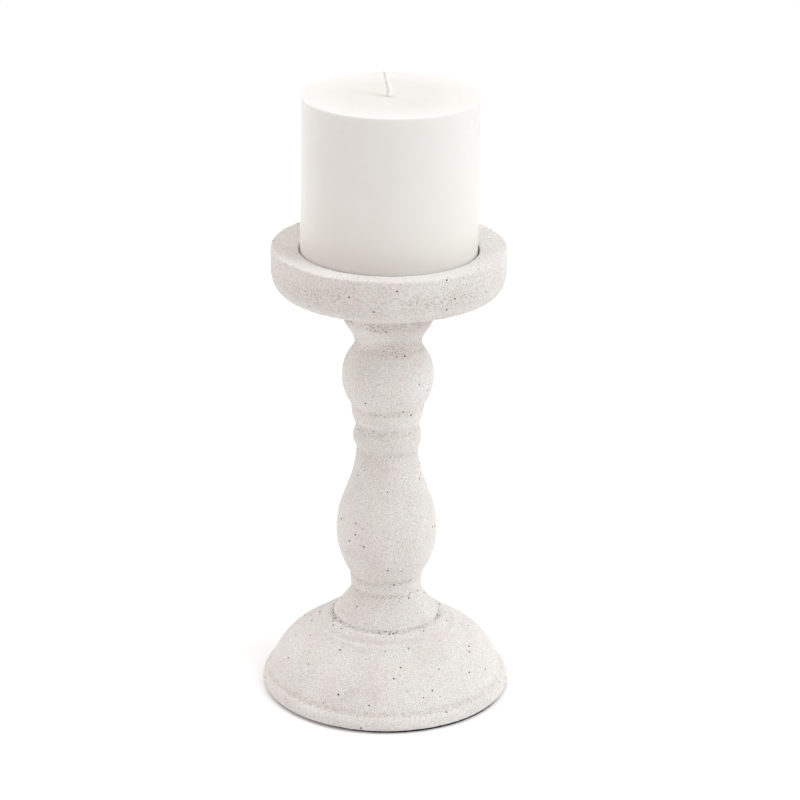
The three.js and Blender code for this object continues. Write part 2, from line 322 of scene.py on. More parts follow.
# soft mottling: broad patches
def buildMottleGroup():
    tree, given, out = startGroup("softMottle", {"Patch Size mm": 20.0, "Sharpness": 0.3}, ["Patches"])
    place = addNode(tree, "ShaderNodeTexCoord", -900, 300)
    scale = math2(tree, "DIVIDE", 1000, given.outputs["Patch Size mm"], -700, 200)
    cloud = addNode(tree, "ShaderNodeTexNoise", -450, 200)
    setInputs(cloud, {"Detail": 3.0, "Roughness": 0.55, "Distortion": 0.4})
    tree.links.new(place.outputs["Object"], cloud.inputs["Vector"])
    tree.links.new(scale, cloud.inputs["Scale"])
    quarter = math2(tree, "MULTIPLY", given.outputs["Sharpness"], 0.25, -450, -100)
    low = math2(tree, "ADD", quarter, 0.25, -300, -100)
    high = math2(tree, "SUBTRACT", 1.0, low, -150, -100)
    spread = addNode(tree, "ShaderNodeMapRange", 200, 200, interpolation_type="SMOOTHSTEP")
    tree.links.new(cloud.outputs[0], spread.inputs["Value"])
    tree.links.new(low, spread.inputs["From Min"])
    tree.links.new(high, spread.inputs["From Max"])
    tree.links.new(spread.outputs[0], out.inputs["Patches"])
    return tree


fineGrain = buildGrainGroup()
looseFlecks = buildFleckGroup()
softMottle = buildMottleGroup()
print("candlestick: shader groups built")


stoneCoatLook = {
    "light": (0.880, 0.872, 0.854),
    "dark": (0.655, 0.622, 0.606),
    "pinkPatch": (0.860, 0.811, 0.799),
    "creamPatch": (0.870, 0.855, 0.816),
    "dustAndShade": (0.560, 0.490, 0.410),
    "crevice": (0.075, 0.050, 0.034),
    "brownFleck": (0.260, 0.190, 0.145),
    "pepper": (0.440, 0.385, 0.350),
    "blackFleck": (0.035, 0.028, 0.024),
    "sparkle": (0.985, 0.980, 0.970),
    "hollowDustAndShade": 0.17,     # how far dust and painted shade tint the hollows
    "hollowGrit": 0.60,     # and how strongly grit shows in them
    # how far dust tints the joint rings, and painted shade under the tray and over its edge
    "ringDustAndShade": 0.20,
    "smokeShare": 0.10,
    "grain": {"Grain Size mm": 0.28, "Contrast": 4.4},
    "bumpHeight": 0.0005,
    "bumpStrength": 0.85,
    "dullness": 0.93,
    "sparkleGloss": 0.5,
}

# broad patches in the coat's colour, and in the dust and painted shade laid on it
coatPatches = {
    "tint": {"Patch Size mm": 26, "Sharpness": 0.6},
    "smear": {"Patch Size mm": 9, "Sharpness": 0.8},
    "smoke": {"Patch Size mm": 42, "Sharpness": 1.2},
    "dustAndShadePatches": {"Patch Size mm": 13, "Sharpness": 0.4},
    "wear": {"Patch Size mm": 24, "Sharpness": 0.6},
}

# single grains: how far apart, how big, how many are kept and how faint the faintest is
coatFlecks = {
    "black": {"Spacing mm": 3.4, "Radius mm": 0.48, "Kept": 0.24, "Least": 0.9},
    "brown": {"Spacing mm": 1.2, "Radius mm": 0.2, "Kept": 0.6},
    "pepper": {"Spacing mm": 0.75, "Radius mm": 0.19, "Kept": 0.8, "Least": 0.3},
    "bright": {"Spacing mm": 1.4, "Radius mm": 0.21, "Kept": 0.8},
    "hollowGrit": {"Spacing mm": 0.75, "Radius mm": 0.3, "Kept": 0.7, "Least": 0.5},
    # dark grit in the joint rings, which also paints shade in the cove under the tray and over the tray's
    # edge
    "ringGritAndShade": {"Spacing mm": 1.15, "Radius mm": 0.52, "Kept": 0.75, "Least": 0.8},
}


# the coat's own colour: tinted patches under fine light and dark grain
def coatColour(tree, look, patches, grain):
    body = mixColours(tree, look["pinkPatch"], look["creamPatch"], patches["tint"], -1200, 600)
    body = mixColours(tree, body, look["light"], patches["smear"], -1000, 500)
    body = mixColours(tree, look["dark"], body, grain, -800, 400)
    shade = math2(tree, "SUBTRACT", 1.0, grain, -1000, 800)
    smoke = math2(tree, "MULTIPLY", shade, patches["smoke"], -850, 850)
    smoke = math2(tree, "MULTIPLY", smoke, look["smokeShare"], -700, 850)
    return mixColours(tree, body, look["brownFleck"], smoke, -600, 500)


# dust and dark grit in the hollows and along the seams, with painted shade in the hollows, in the cove under
# the tray and over the tray's edge
def addDirtAndShade(tree, look, body, patches, flecks):
    groove = addNode(tree, "ShaderNodeAttribute", -1500, -900, attribute_name="crevice")
    joint = addNode(tree, "ShaderNodeAttribute", -1500, -1300, attribute_name="joint")
    dustAndShadeScale = rampBetween(tree, patches["dustAndShadePatches"], 0.0, 1.0, -1250, -1050, 0.45, 1.0)
    worn = rampBetween(tree, patches["wear"], 0.25, 0.7, -1250, -1450, 0.3, 1.0)
    hollow = rampBetween(tree, groove.outputs["Fac"], 0.0, 1.0, -1250, -900)
    hollow = math2(tree, "MULTIPLY", hollow, dustAndShadeScale, -1100, -950)
    # joint rings: dark grit at the seams, which also paints shade in the cove under the tray and over the
    # tray's edge
    seam = rampBetween(tree, joint.outputs["Fac"], 0.15, 0.9, -1250, -1300)
    seam = math2(tree, "MULTIPLY", seam, worn, -1100, -1350)
    # the hollows' tint is settled dust and painted shade; the joint rings add dust, and painted shade under
    # the tray and over its edge
    dustAndShade = math2(tree, "MAXIMUM", math2(tree, "MULTIPLY", hollow, look["hollowDustAndShade"], -950, -900),
                 math2(tree, "MULTIPLY", seam, look["ringDustAndShade"], -950, -1100), -800, -1000)
    body = mixColours(tree, body, look["dustAndShade"], dustAndShade, -600, 300)
    loose = math2(tree, "MULTIPLY", hollow, look["hollowGrit"], -950, -1250)
    loose = math2(tree, "MULTIPLY", loose, flecks["hollowGrit"], -800, -1250)
    caught = math2(tree, "MULTIPLY", seam, flecks["ringGritAndShade"], -800, -1400)
    grit = math2(tree, "MAXIMUM", loose, caught, -650, -1200)
    return mixColours(tree, body, look["crevice"], grit, -450, 250)


def makeStoneCoat(look):
    material, tree, shader = startMaterial("stoneCoat", {
        "Roughness": 0.9, "Diffuse Roughness": 1.0, "Specular IOR Level": 0.25})
    grain = useGroup(tree, fineGrain, look["grain"], -1500, 300)
    patches, flecks = {}, {}
    for row, (name, values) in enumerate(coatPatches.items()):
        patches[name] = useGroup(tree, softMottle, values, -1800, 1400 - 200 * row).outputs["Patches"]
    for row, (name, values) in enumerate(coatFlecks.items()):
        flecks[name] = useGroup(tree, looseFlecks, values, -1800, 200 - 200 * row).outputs["Mask"]
    body = coatColour(tree, look, patches, grain.outputs["Grain"])
    body = addDirtAndShade(tree, look, body, patches, flecks)
    for x, colour, name in ((-300, "brownFleck", "brown"), (-250, "pepper", "pepper"),
                            (-200, "sparkle", "bright"), (-100, "blackFleck", "black")):
        body = mixColours(tree, body, look[colour], flecks[name], x, 100)
    tree.links.new(body, shader.inputs["Base Color"])
    gloss = math2(tree, "MULTIPLY", flecks["bright"], look["sparkleGloss"], -300, -300)
    dull = math2(tree, "SUBTRACT", look["dullness"], gloss, -150, -300)
    tree.links.new(dull, shader.inputs["Roughness"])
    bump = addNode(tree, "ShaderNodeBump", -300, -600)
    setInputs(bump, {"Strength": look["bumpStrength"], "Distance": look["bumpHeight"]})
    raised = math2(tree, "MULTIPLY", flecks["black"], 0.5, -700, -500)
    height = math2(tree, "ADD", grain.outputs["Height"], raised, -500, -550)
    tree.links.new(height, bump.inputs["Height"])
    tree.links.new(bump.outputs[0], shader.inputs["Normal"])
    return material


bareWoodLook = {
    "earlyWood": (0.640, 0.470, 0.300),
    "lateWood": (0.430, 0.280, 0.160),
    "ringSpacing": 3.2,
}


def makeBareWood(look):
    material, tree, shader = startMaterial("bareWood", {"Roughness": 0.7, "Specular IOR Level": 0.35})
    place = addNode(tree, "ShaderNodeTexCoord", -1300, 0)
    stretch = addNode(tree, "ShaderNodeMapping", -1100, 0)
    setInputs(stretch, {"Location": (0.03, 0.012, 0), "Scale": (1, 1, 0.12)})
    rings = addNode(tree, "ShaderNodeTexWave", -850, 100, wave_type="RINGS", rings_direction="Z")
    setInputs(rings, {"Scale": 50 / look["ringSpacing"], "Distortion": 3.0, "Detail": 3.0})
    tree.links.new(place.outputs["Object"], stretch.inputs["Vector"])
    tree.links.new(stretch.outputs[0], rings.inputs["Vector"])
    grain = useGroup(tree, fineGrain, {"Grain Size mm": 0.3, "Contrast": 1.6}, -850, -200)
    body = mixColours(tree, look["earlyWood"], look["lateWood"], rings.outputs["Fac"], -550, 100)
    pores = rampBetween(tree, grain.outputs["Grain"], 0, 0.6, -550, -200)
    body = mixColours(tree, look["lateWood"], body, pores, -300, 100)
    tree.links.new(body, shader.inputs["Base Color"])
    bump = addNode(tree, "ShaderNodeBump", -300, -300)
    setInputs(bump, {"Strength": 0.4, "Distance": 0.0001})
    tree.links.new(grain.outputs["Height"], bump.inputs["Height"])
    tree.links.new(bump.outputs[0], shader.inputs["Normal"])
    return material


waxLook = {
    "clean": (0.700, 0.685, 0.666),
    "frosted": (0.712, 0.702, 0.686),
    "handled": (0.682, 0.658, 0.624),
    "topMiddleShade": (0.652, 0.640, 0.612),      # painted shade, darker and warmer in the middle of the top, out to the reach on the next line
    "topMiddleShadeReach": (0.017, 0.035),
    "seat": (0.712, 0.688, 0.654),      # painted shade, warmer towards the foot where the tray hides the wax
}


def makeWax(look):
    material, tree, shader = startMaterial("candleWax", {
        "Roughness": 0.4, "Specular IOR Level": 0.12, "IOR": 1.44, "Subsurface Weight": 0.3,
        "Subsurface Radius": (1.0, 0.9, 0.75), "Subsurface Scale": 0.004})
    patches = useGroup(tree, softMottle, {"Patch Size mm": 34, "Sharpness": 0.4}, -900, 300)
    scuffs = useGroup(tree, softMottle, {"Patch Size mm": 5, "Sharpness": 1.4}, -900, 100)
    grain = useGroup(tree, fineGrain, {"Grain Size mm": 0.9, "Contrast": 1.0}, -900, -200)
    body = mixColours(tree, look["clean"], look["frosted"], patches.outputs[0], -500, 300)
    faint = math2(tree, "MULTIPLY", scuffs.outputs[0], 0.25, -600, 100)
    body = mixColours(tree, body, look["handled"], faint, -400, 200)
    place = addNode(tree, "ShaderNodeTexCoord", -900, 500)
    split = addNode(tree, "ShaderNodeSeparateXYZ", -700, 500)
    tree.links.new(place.outputs["Object"], split.inputs[0])
    foot, top = lowOf("candle") * mm, highOf("candle") * mm
    # painted shade: the wax turns warmer towards its foot in the tray
    seat = rampBetween(tree, split.outputs["Z"], foot, top, -500, 500, 0.85, 0.0)
    body = mixColours(tree, body, look["seat"], seat, -250, 300)
    reach = addNode(tree, "ShaderNodeVectorMath", -700, 700, operation="LENGTH")
    flat = addNode(tree, "ShaderNodeMapping", -850, 700)
    setInputs(flat, {"Scale": (1, 1, 0)})
    tree.links.new(place.outputs["Object"], flat.inputs["Vector"])
    tree.links.new(flat.outputs[0], reach.inputs[0])
    # painted shade: the middle of the top darker and warmer
    middle = rampBetween(tree, reach.outputs["Value"], *look["topMiddleShadeReach"], -500, 700, 1.0, 0.0)
    body = mixColours(tree, body, look["topMiddleShade"], middle, -150, 400)
    tree.links.new(body, shader.inputs["Base Color"])
    sheen = math2(tree, "ADD", math2(tree, "MULTIPLY", scuffs.outputs[0], 0.10, -500, 0), 0.34, -300, 0)
    tree.links.new(sheen, shader.inputs["Roughness"])
    bump = addNode(tree, "ShaderNodeBump", -300, -300)
    setInputs(bump, {"Strength": 0.25, "Distance": 0.00008})
    tree.links.new(grain.outputs["Height"], bump.inputs["Height"])
    tree.links.new(bump.outputs[0], shader.inputs["Normal"])
    return material


wickLook = {"cotton": (0.800, 0.790, 0.765), "waxed": (0.900, 0.892, 0.870)}


def makeWickCotton(look):
    material, tree, shader = startMaterial("wickCotton", {"Roughness": 0.75})
    grain = useGroup(tree, fineGrain, {"Grain Size mm": 0.25, "Contrast": 2.5}, -800, 100)
    patches = useGroup(tree, softMottle, {"Patch Size mm": 2.5, "Sharpness": 0.8}, -800, -100)
    body = mixColours(tree, look["cotton"], look["waxed"], patches.outputs[0], -450, 100)
    body = mixColours(tree, look["cotton"], body, grain.outputs["Grain"], -250, 100)
    tree.links.new(body, shader.inputs["Base Color"])
    bump = addNode(tree, "ShaderNodeBump", -250, -200)
    setInputs(bump, {"Strength": 0.6, "Distance": 0.0001})
    tree.links.new(grain.outputs["Height"], bump.inputs["Height"])
    tree.links.new(bump.outputs[0], shader.inputs["Normal"])
    return material


padLook = {"foam": (0.022, 0.021, 0.020), "worn": (0.060, 0.057, 0.054)}


def makePadFoam(look):
    material, tree, shader = startMaterial("padFoam", {"Roughness": 0.95, "Specular IOR Level": 0.2})
    grain = useGroup(tree, fineGrain, {"Grain Size mm": 0.6, "Contrast": 2.0}, -800, 100)
    pores = useGroup(tree, looseFlecks, {"Spacing mm": 0.8, "Radius mm": 0.3, "Kept": 0.8}, -800, -100)
    body = mixColours(tree, look["foam"], look["worn"], grain.outputs["Grain"], -450, 100)
    body = mixColours(tree, body, (0.008, 0.008, 0.008), pores.outputs["Mask"], -250, 100)
    tree.links.new(body, shader.inputs["Base Color"])
    bump = addNode(tree, "ShaderNodeBump", -250, -200)
    setInputs(bump, {"Strength": 0.7, "Distance": 0.0003})
    bump.invert = True
    tree.links.new(pores.outputs["Mask"], bump.inputs["Height"])
    tree.links.new(bump.outputs[0], shader.inputs["Normal"])
    return material


def makeMetal(name, bright, dull, roughness):
    material, tree, shader = startMaterial(name, {"Metallic": 1.0, "Roughness": roughness})
    patches = useGroup(tree, softMottle, {"Patch Size mm": 3, "Sharpness": 0.8}, -800, 200)
    grain = useGroup(tree, fineGrain, {"Grain Size mm": 0.15, "Contrast": 1.6}, -800, -100)
    tree.links.new(mixColours(tree, bright, dull, patches.outputs[0], -400, 200), shader.inputs["Base Color"])
    worn = math2(tree, "MULTIPLY", grain.outputs["Grain"], 0.25, -500, -50)
    tree.links.new(math2(tree, "ADD", worn, roughness - 0.1, -300, -50), shader.inputs["Roughness"])
    return material


stoneCoat = makeStoneCoat(stoneCoatLook)
bareWood = makeBareWood(bareWoodLook)
candleWax = makeWax(waxLook)
wickCotton = makeWickCotton(wickLook)
padFoam = makePadFoam(padLook)
zincSteel = makeMetal("zincSteel", (0.62, 0.61, 0.57), (0.46, 0.47, 0.47), 0.38)
tabTin = makeMetal("tabTin", (0.72, 0.71, 0.68), (0.58, 0.58, 0.56), 0.3)
print("candlestick: materials built")


coatGrit = {
    "waves": ((28.0, 0.10), (6.0, 0.06), (1.4, 0.10), (0.8, 0.08)),      # patch size, height
    "grains": 0.012,
    "lumpShare": 0.004,
    "lumpHeight": 0.16,
}

footShape = {
    "columns": 620,
    "cell": 0.5,
    "hiddenCell": 3.0,
    "bandHeight": 5.4,
    "grooveHeight": 2.4,
    "bandOverhang": 3.6,
    "ledgeRadius": 31.0,
    "ledgeHeight": 3.3,
    "stemRadius": 23.9,
    "socketRadius": 9.15,
    "socketDepth": 11.7,
    "screwHoleRadius": 2.6,
    "counterboreRadius": 8.0,
    "counterboreDepth": 12.5,
    "edgeRound": 0.9,
    "coatFillet": 1.3,      # the coat runs a little way up the stem
    "seam": (0.4, 1.2, 1.0),        # dark grit round the stem: height above the ledge, reach, share
    "dustAndShadeLine": 4.0,        # hollows below this height on the dome get more dust and painted shade than those above
    "lowDustAndShade": 0.75,
    "highDustAndShade": 0.4,
}


def makeFoot(shape):
    underside, ledge, widest = lowOf("base"), highOf("base"), radiusOf("base")
    cell, hidden, soft = shape["cell"], shape["hiddenCell"], shape["edgeRound"]
    bandTop = underside + shape["bandHeight"]
    domeStart = bandTop + shape["grooveHeight"]
    domeTop = ledge - shape["ledgeHeight"]
    domeRadius = widest - shape["bandOverhang"]
    boreTop = underside + shape["counterboreDepth"]
    width = shape["ledgeRadius"] - shape["stemRadius"]
    rise = ledge - domeTop
    s = Section(shape["counterboreRadius"], underside)
    s.lineTo(widest - 3, underside, hidden, True)
    s.lineTo(widest - soft, underside, cell)
    s.roundTo(widest, underside, widest, underside + 0.35 * shape["bandHeight"], cell)
    s.roundTo(widest - 0.1, bandTop - soft, domeRadius + 1.3, bandTop, cell)
    s.roundTo(domeRadius + 0.1, bandTop + 0.35 * shape["grooveHeight"], domeRadius, domeStart, cell)
    s.flankTo(shape["ledgeRadius"], domeTop, (0.29, 0.7), (0.68, 0.72), cell)
    s.roundTo(shape["ledgeRadius"] - 0.3 * width, domeTop + 0.05 * rise,
              shape["ledgeRadius"] - 0.42 * width, domeTop + 0.6 * rise, cell)
    fillet = shape["coatFillet"]
    s.roundTo(shape["stemRadius"] + 0.35 * width, ledge, shape["stemRadius"] + fillet, ledge, cell)
    s.roundTo(shape["stemRadius"], ledge, shape["stemRadius"] - 0.15, ledge + fillet, 0.25)
    s.lineTo(shape["stemRadius"] - 0.6, ledge - 0.2, 0.4)
    s.lineTo(shape["socketRadius"], ledge - 0.2, hidden, True)
    s.lineTo(shape["socketRadius"], ledge - shape["socketDepth"], hidden, True)
    s.lineTo(shape["screwHoleRadius"], ledge - shape["socketDepth"], hidden, True)
    s.lineTo(shape["screwHoleRadius"], boreTop, hidden, True)
    s.lineTo(shape["counterboreRadius"], boreTop, hidden, True)
    s.lineTo(shape["counterboreRadius"], underside, hidden, True)
    above, reach, share = shape["seam"]
    seam = (shape["stemRadius"], ledge + above, reach, share)

    def dustAndShadeScale(height):
        return shape["lowDustAndShade"] if height < domeStart + shape["dustAndShadeLine"] else shape["highDustAndShade"]

    foot = turnPiece("turnedFoot", s, shape["columns"], grit=coatGrit, seed=11, joints=[seam],
                     dustAndShadeScale=dustAndShadeScale)
    fitPiece(foot, "base", "holder", "coated_wood", stoneCoat, bareWood)


stemShape = {
    "columns": 236,
    "cell": 0.52,
    "hiddenCell": 2.5,
    "footRadius": 23.9,
    # each turned section from the foot up: radius at its top, height, first and second handle
    "sections": (
        (15.6, 14.7, (0.43, 0.42), (1.0, 0.64)),      # bell foot
        (16.05, 5.3, (1.0, 0.25), (1.3, 0.75)),       # collar
        (22.5, 21.7, (0.0, 0.08), (1.0, 0.42)),       # lower vase
        (13.65, 38.1, (0.0, 0.41), (0.87, 0.52)),     # upper vase
        (15.25, 6.2, (0.0, 0.35), (1.0, 0.6)),        # bead, lower half
        (14.05, 5.7, (0.0, 0.35), (1.0, 0.6)),        # bead, upper half
        (16.05, 9.7, (0.55, 0.37), (1.0, 0.35)),      # ring
        (20.2, 12.6, (0.7, 0.31), (1.0, 0.7)),        # ball, lower half
        (14.75, 15.7, (0.0, 0.65), (0.92, 0.77)),     # ball, upper half
        (21.5, 16.0, (0.04, 0.38), (0.53, 0.32)),     # cove under the tray
    ),
    "capRadius": 22.4,
    "footSeam": (0.3, 1.2, 1.0),      # dark grit at the foot: height above the seat, reach, share
    "coveGritAndShadow": (19.8, 11.0, 3.0, 1.0),     # and dark grit with painted shadow of the tray in the cove: radius, depth under the tray, reach, share
    "dustAndShadeLine": 13.0,       # hollows up to this height get less dust and painted shade
    "bellDustAndShade": 0.35,
    "lowerTenonRadius": 9.0,
    "upperTenonRadius": 8.0,
    "tenonEdge": 0.4,
    "pilotRadius": 2.6,
    "screwPoint": 5.0,
}


def makeStem(shape):
    seat, top = highOf("base") + 0.1, lowOf("tray") - 0.1
    lowerEnd, upperEnd = lowOf("stem"), highOf("stem")
    cell, hidden, edge = shape["cell"], shape["hiddenCell"], shape["tenonEdge"]
    lowerHoleEnd = highOf("base_screw") + edge
    upperHoleEnd = lowOf("tray_screw") - edge
    s = Section(0, lowerHoleEnd)
    s.lineTo(shape["pilotRadius"], lowerHoleEnd - shape["screwPoint"], hidden, True)
    s.lineTo(shape["pilotRadius"], lowerEnd, hidden * 3, True)
    s.lineTo(shape["lowerTenonRadius"] - edge, lowerEnd, hidden, True)
    s.lineTo(shape["lowerTenonRadius"], lowerEnd + edge, hidden, True)
    s.lineTo(shape["lowerTenonRadius"], seat, hidden, True)
    s.lineTo(shape["footRadius"] - 1.2, seat + 0.1, hidden, True)
    s.roundTo(shape["footRadius"] + 0.1, seat + 0.3, shape["footRadius"] - 0.4, seat + 1.4, 0.35)
    level = seat
    for radius, height, first, second in shape["sections"]:
        level += height
        s.flankTo(radius, level, first, second, cell)
    cap, capTop = shape["capRadius"], top - level
    s.roundTo(cap, level + 0.15 * capTop, cap, level + 0.5 * capTop, cell)
    s.roundTo(cap, level + 0.85 * capTop, cap - 0.9, top, cell)
    s.lineTo(shape["upperTenonRadius"], top, hidden, True)
    s.lineTo(shape["upperTenonRadius"], upperEnd - edge, hidden, True)
    s.lineTo(shape["upperTenonRadius"] - edge, upperEnd, hidden, True)
    s.lineTo(shape["pilotRadius"], upperEnd, hidden, True)
    s.lineTo(shape["pilotRadius"], upperHoleEnd + shape["screwPoint"], hidden * 3, True)
    s.lineTo(0, upperHoleEnd, hidden, True)
    above, footReach, footShare = shape["footSeam"]
    coveRadius, depth, coveReach, coveShare = shape["coveGritAndShadow"]
    # the cove ring lays dark grit and painted shadow from the tray above
    seams = [(shape["footRadius"], seat + above, footReach, footShare),
             (coveRadius, top - depth, coveReach, coveShare)]

    def dustAndShadeScale(height):
        return shape["bellDustAndShade"] if height < seat + shape["dustAndShadeLine"] else 1.0

    stem = turnPiece("turnedStem", s, shape["columns"], grit=coatGrit, seed=23, joints=seams, dustAndShadeScale=dustAndShadeScale)
    fitPiece(stem, "stem", "holder", "coated_wood", stoneCoat, bareWood)


trayShape = {
    "columns": 600,
    "cell": 0.52,
    "undersideCell": 1.6,
    "floorCell": 1.6,
    "edgeWidth": 6.0,
    "edgeHeight": 9.5,
    "rimWidth": 12.1,
    "rimDish": 1.2,
    "recessDepth": 9.6,
    "edgeRound": 0.9,
    "socketRadius": 8.15,
    "socketDepth": 5.4,
    "screwHoleRadius": 2.6,
    "sinkRadius": 5.0,
    "sinkDepth": 3.3,
    "edgeGritAndShade": (7.5, 0.42),        # dark grit over the edge, partly painted shade in the grain: reach, share
}


def makeTray(shape):
    underside, rim, widest = lowOf("tray"), highOf("tray"), radiusOf("tray")
    cell, soft = shape["cell"], shape["edgeRound"]
    recess = widest - shape["rimWidth"]
    floor, inner = rim - shape["recessDepth"], rim - shape["rimDish"]
    s = Section(shape["socketRadius"], underside)
    s.lineTo(widest - shape["edgeWidth"] - 14, underside, shape["undersideCell"])
    s.lineTo(widest - shape["edgeWidth"], underside, 0.9)
    s.roundTo(widest - 0.1 * shape["edgeWidth"], underside + 0.1 * shape["edgeHeight"],
              widest, underside + shape["edgeHeight"], cell)
    s.lineTo(widest, rim - soft, cell)
    s.roundTo(widest, rim, widest - soft * 1.2, rim, 0.3)
    s.lineTo(recess + soft, inner, cell)
    s.roundTo(recess, inner, recess, inner - soft, 0.35)
    s.lineTo(recess, floor + soft, 0.8)
    s.roundTo(recess, floor, recess - soft, floor, 0.5)
    s.lineTo(shape["sinkRadius"], floor, shape["floorCell"])
    s.lineTo(shape["screwHoleRadius"], floor - shape["sinkDepth"], 1.5, True)
    s.lineTo(shape["screwHoleRadius"], underside + shape["socketDepth"], 1.5, True)
    s.lineTo(shape["socketRadius"], underside + shape["socketDepth"], 2.5, True)
    s.lineTo(shape["socketRadius"], underside, 2.5, True)
    # dark specks over the tray's edge: grit, and painted shade in the grain
    reach, share = shape["edgeGritAndShade"]
    edgeGritAndShade = (widest, (underside + rim) / 2, reach, share)
    tray = turnPiece("turnedTray", s, shape["columns"], grit=coatGrit, seed=37, joints=[edgeGritAndShade])
    fitPiece(tray, "tray", "holder", "coated_wood", stoneCoat, bareWood)


padShape = {"columns": 220, "offset": (0.9, -0.4), "edge": 0.25}


def makePad(shape):
    low, high, radius = lowOf("base_pad"), highOf("base_pad"), radiusOf("base_pad")
    edge = shape["edge"]
    s = Section(0, low)
    s.lineTo(radius - edge, low, 2.0)
    s.roundTo(radius, low, radius, low + edge, 0.15)
    s.lineTo(radius, high - edge, 0.2)
    s.roundTo(radius, high, radius - edge, high, 0.15)
    s.lineTo(0, high, 4.0)
    pad = turnPiece("foamPad", s, shape["columns"])
    pad.location = (shape["offset"][0] * mm, shape["offset"][1] * mm, 0)
    fitPiece(pad, "base_pad", "holder", "pad_foam", padFoam)


candleShape = {
    "columns": 200,
    "cell": 1.0,
    "draft": 0.35,
    "edgeRound": 0.35,
    "footRound": 0.9,
    "topDish": 0.45,
    "wellRadius": 5.0,
    "wellDepth": 0.25,
    "wickHole": 1.3,
    "wickSeal": 0.7,
    "pocketRadius": 10.3,
    "pocketDepth": 0.9,
    "neckPocketRadius": 2.9,
    "neckPocketDepth": 5.0,
    "wobble": 0.12,
    "lean": (-0.15, 0.35),      # its foot stands this far off the axis, and its top leans back by this much
    "wickDrift": (-1.15, 9.0),  # how far the wick strays off centre at the top, and the reach of that
}


# the candle and its wick stand a little crooked in the tray
def leanOver(piece, low, high):
    start, lean = candleShape["lean"]
    shear = Matrix.Shear("XY", 4, (lean / (high - low), 0))
    shift = Matrix.Translation(((start - lean * low / (high - low)) * mm, 0, 0))
    piece.data.transform(shift @ shear)
    drift, reach = candleShape["wickDrift"]
    for vertex in piece.data.vertices:
        rise = min(1, max(0, (vertex.co.z / mm - low) / (high - low)))
        near = min(1, max(0, 1.2 - math.hypot(vertex.co.x, vertex.co.y) / mm / reach))
        vertex.co.x += drift * mm * rise ** 2 * near


def makeCandle(shape):
    low, high, foot = lowOf("candle"), highOf("candle"), radiusOf("candle")
    radius, cell, soft = foot - shape["draft"], shape["cell"], shape["edgeRound"]
    dish, well = shape["topDish"], shape["wellRadius"]
    pocketTop = low + shape["pocketDepth"]
    neckTop = pocketTop + shape["neckPocketDepth"]

    def handPoured(r, z, angle):
        swell = np.array([noise.noise(Vector((math.cos(a) * 1.3, math.sin(a) * 1.3, z[0] / 30)))
                          for a in angle])
        return r + swell * shape["wobble"] * np.clip((r - 20) / 18, 0, 1), z

    s = Section(shape["pocketRadius"], low)
    s.lineTo(foot - shape["footRound"], low, 4.0)
    s.roundTo(foot, low, foot, low + shape["footRound"], 0.3)
    s.lineTo(radius, high - soft, cell)
    s.roundTo(radius, high, radius - soft * 1.3, high, 0.2)
    s.flankTo(well, high - dish, (0.45, 0.0), (0.7, 1.0), cell)
    s.flankTo(2.0, high - dish - shape["wellDepth"], (0.4, 0.0), (0.6, 1.0), 0.4)
    s.roundTo(1.2, high - dish - shape["wellDepth"], shape["wickSeal"], high - dish + 0.3, 0.2)
    s.lineTo(shape["wickHole"], high - dish - 1.0, 0.5)
    s.lineTo(shape["wickHole"], neckTop, 6.0)
    s.lineTo(shape["neckPocketRadius"], neckTop, 1.0)
    s.lineTo(shape["neckPocketRadius"], pocketTop, 3.0)
    s.lineTo(shape["pocketRadius"], pocketTop, 3.0)
    s.lineTo(shape["pocketRadius"], low, 1.0)
    candle = turnPiece("pillarCandle", s, shape["columns"], shape=handPoured)
    leanOver(candle, low, high)
    fitPiece(candle, "candle", "candle", "wax", candleWax)


wickShape = {
    "strands": 3,
    "strandRadius": 0.58,
    "twistRadius": 0.38,
    "twistPitch": 5.5,
    "sides": 10,
    "step": 0.3,
    # how the stub leans: share of its height, then the shift along x and y
    "lean": ((0.0, 0.0, 0.0), (0.2, 0.1, -0.3), (0.35, 0.0, -0.4), (0.6, -0.9, -0.7), (1.0, -1.6, -0.7)),
    "bulge": 0.22,
    "fray": 0.1,
}


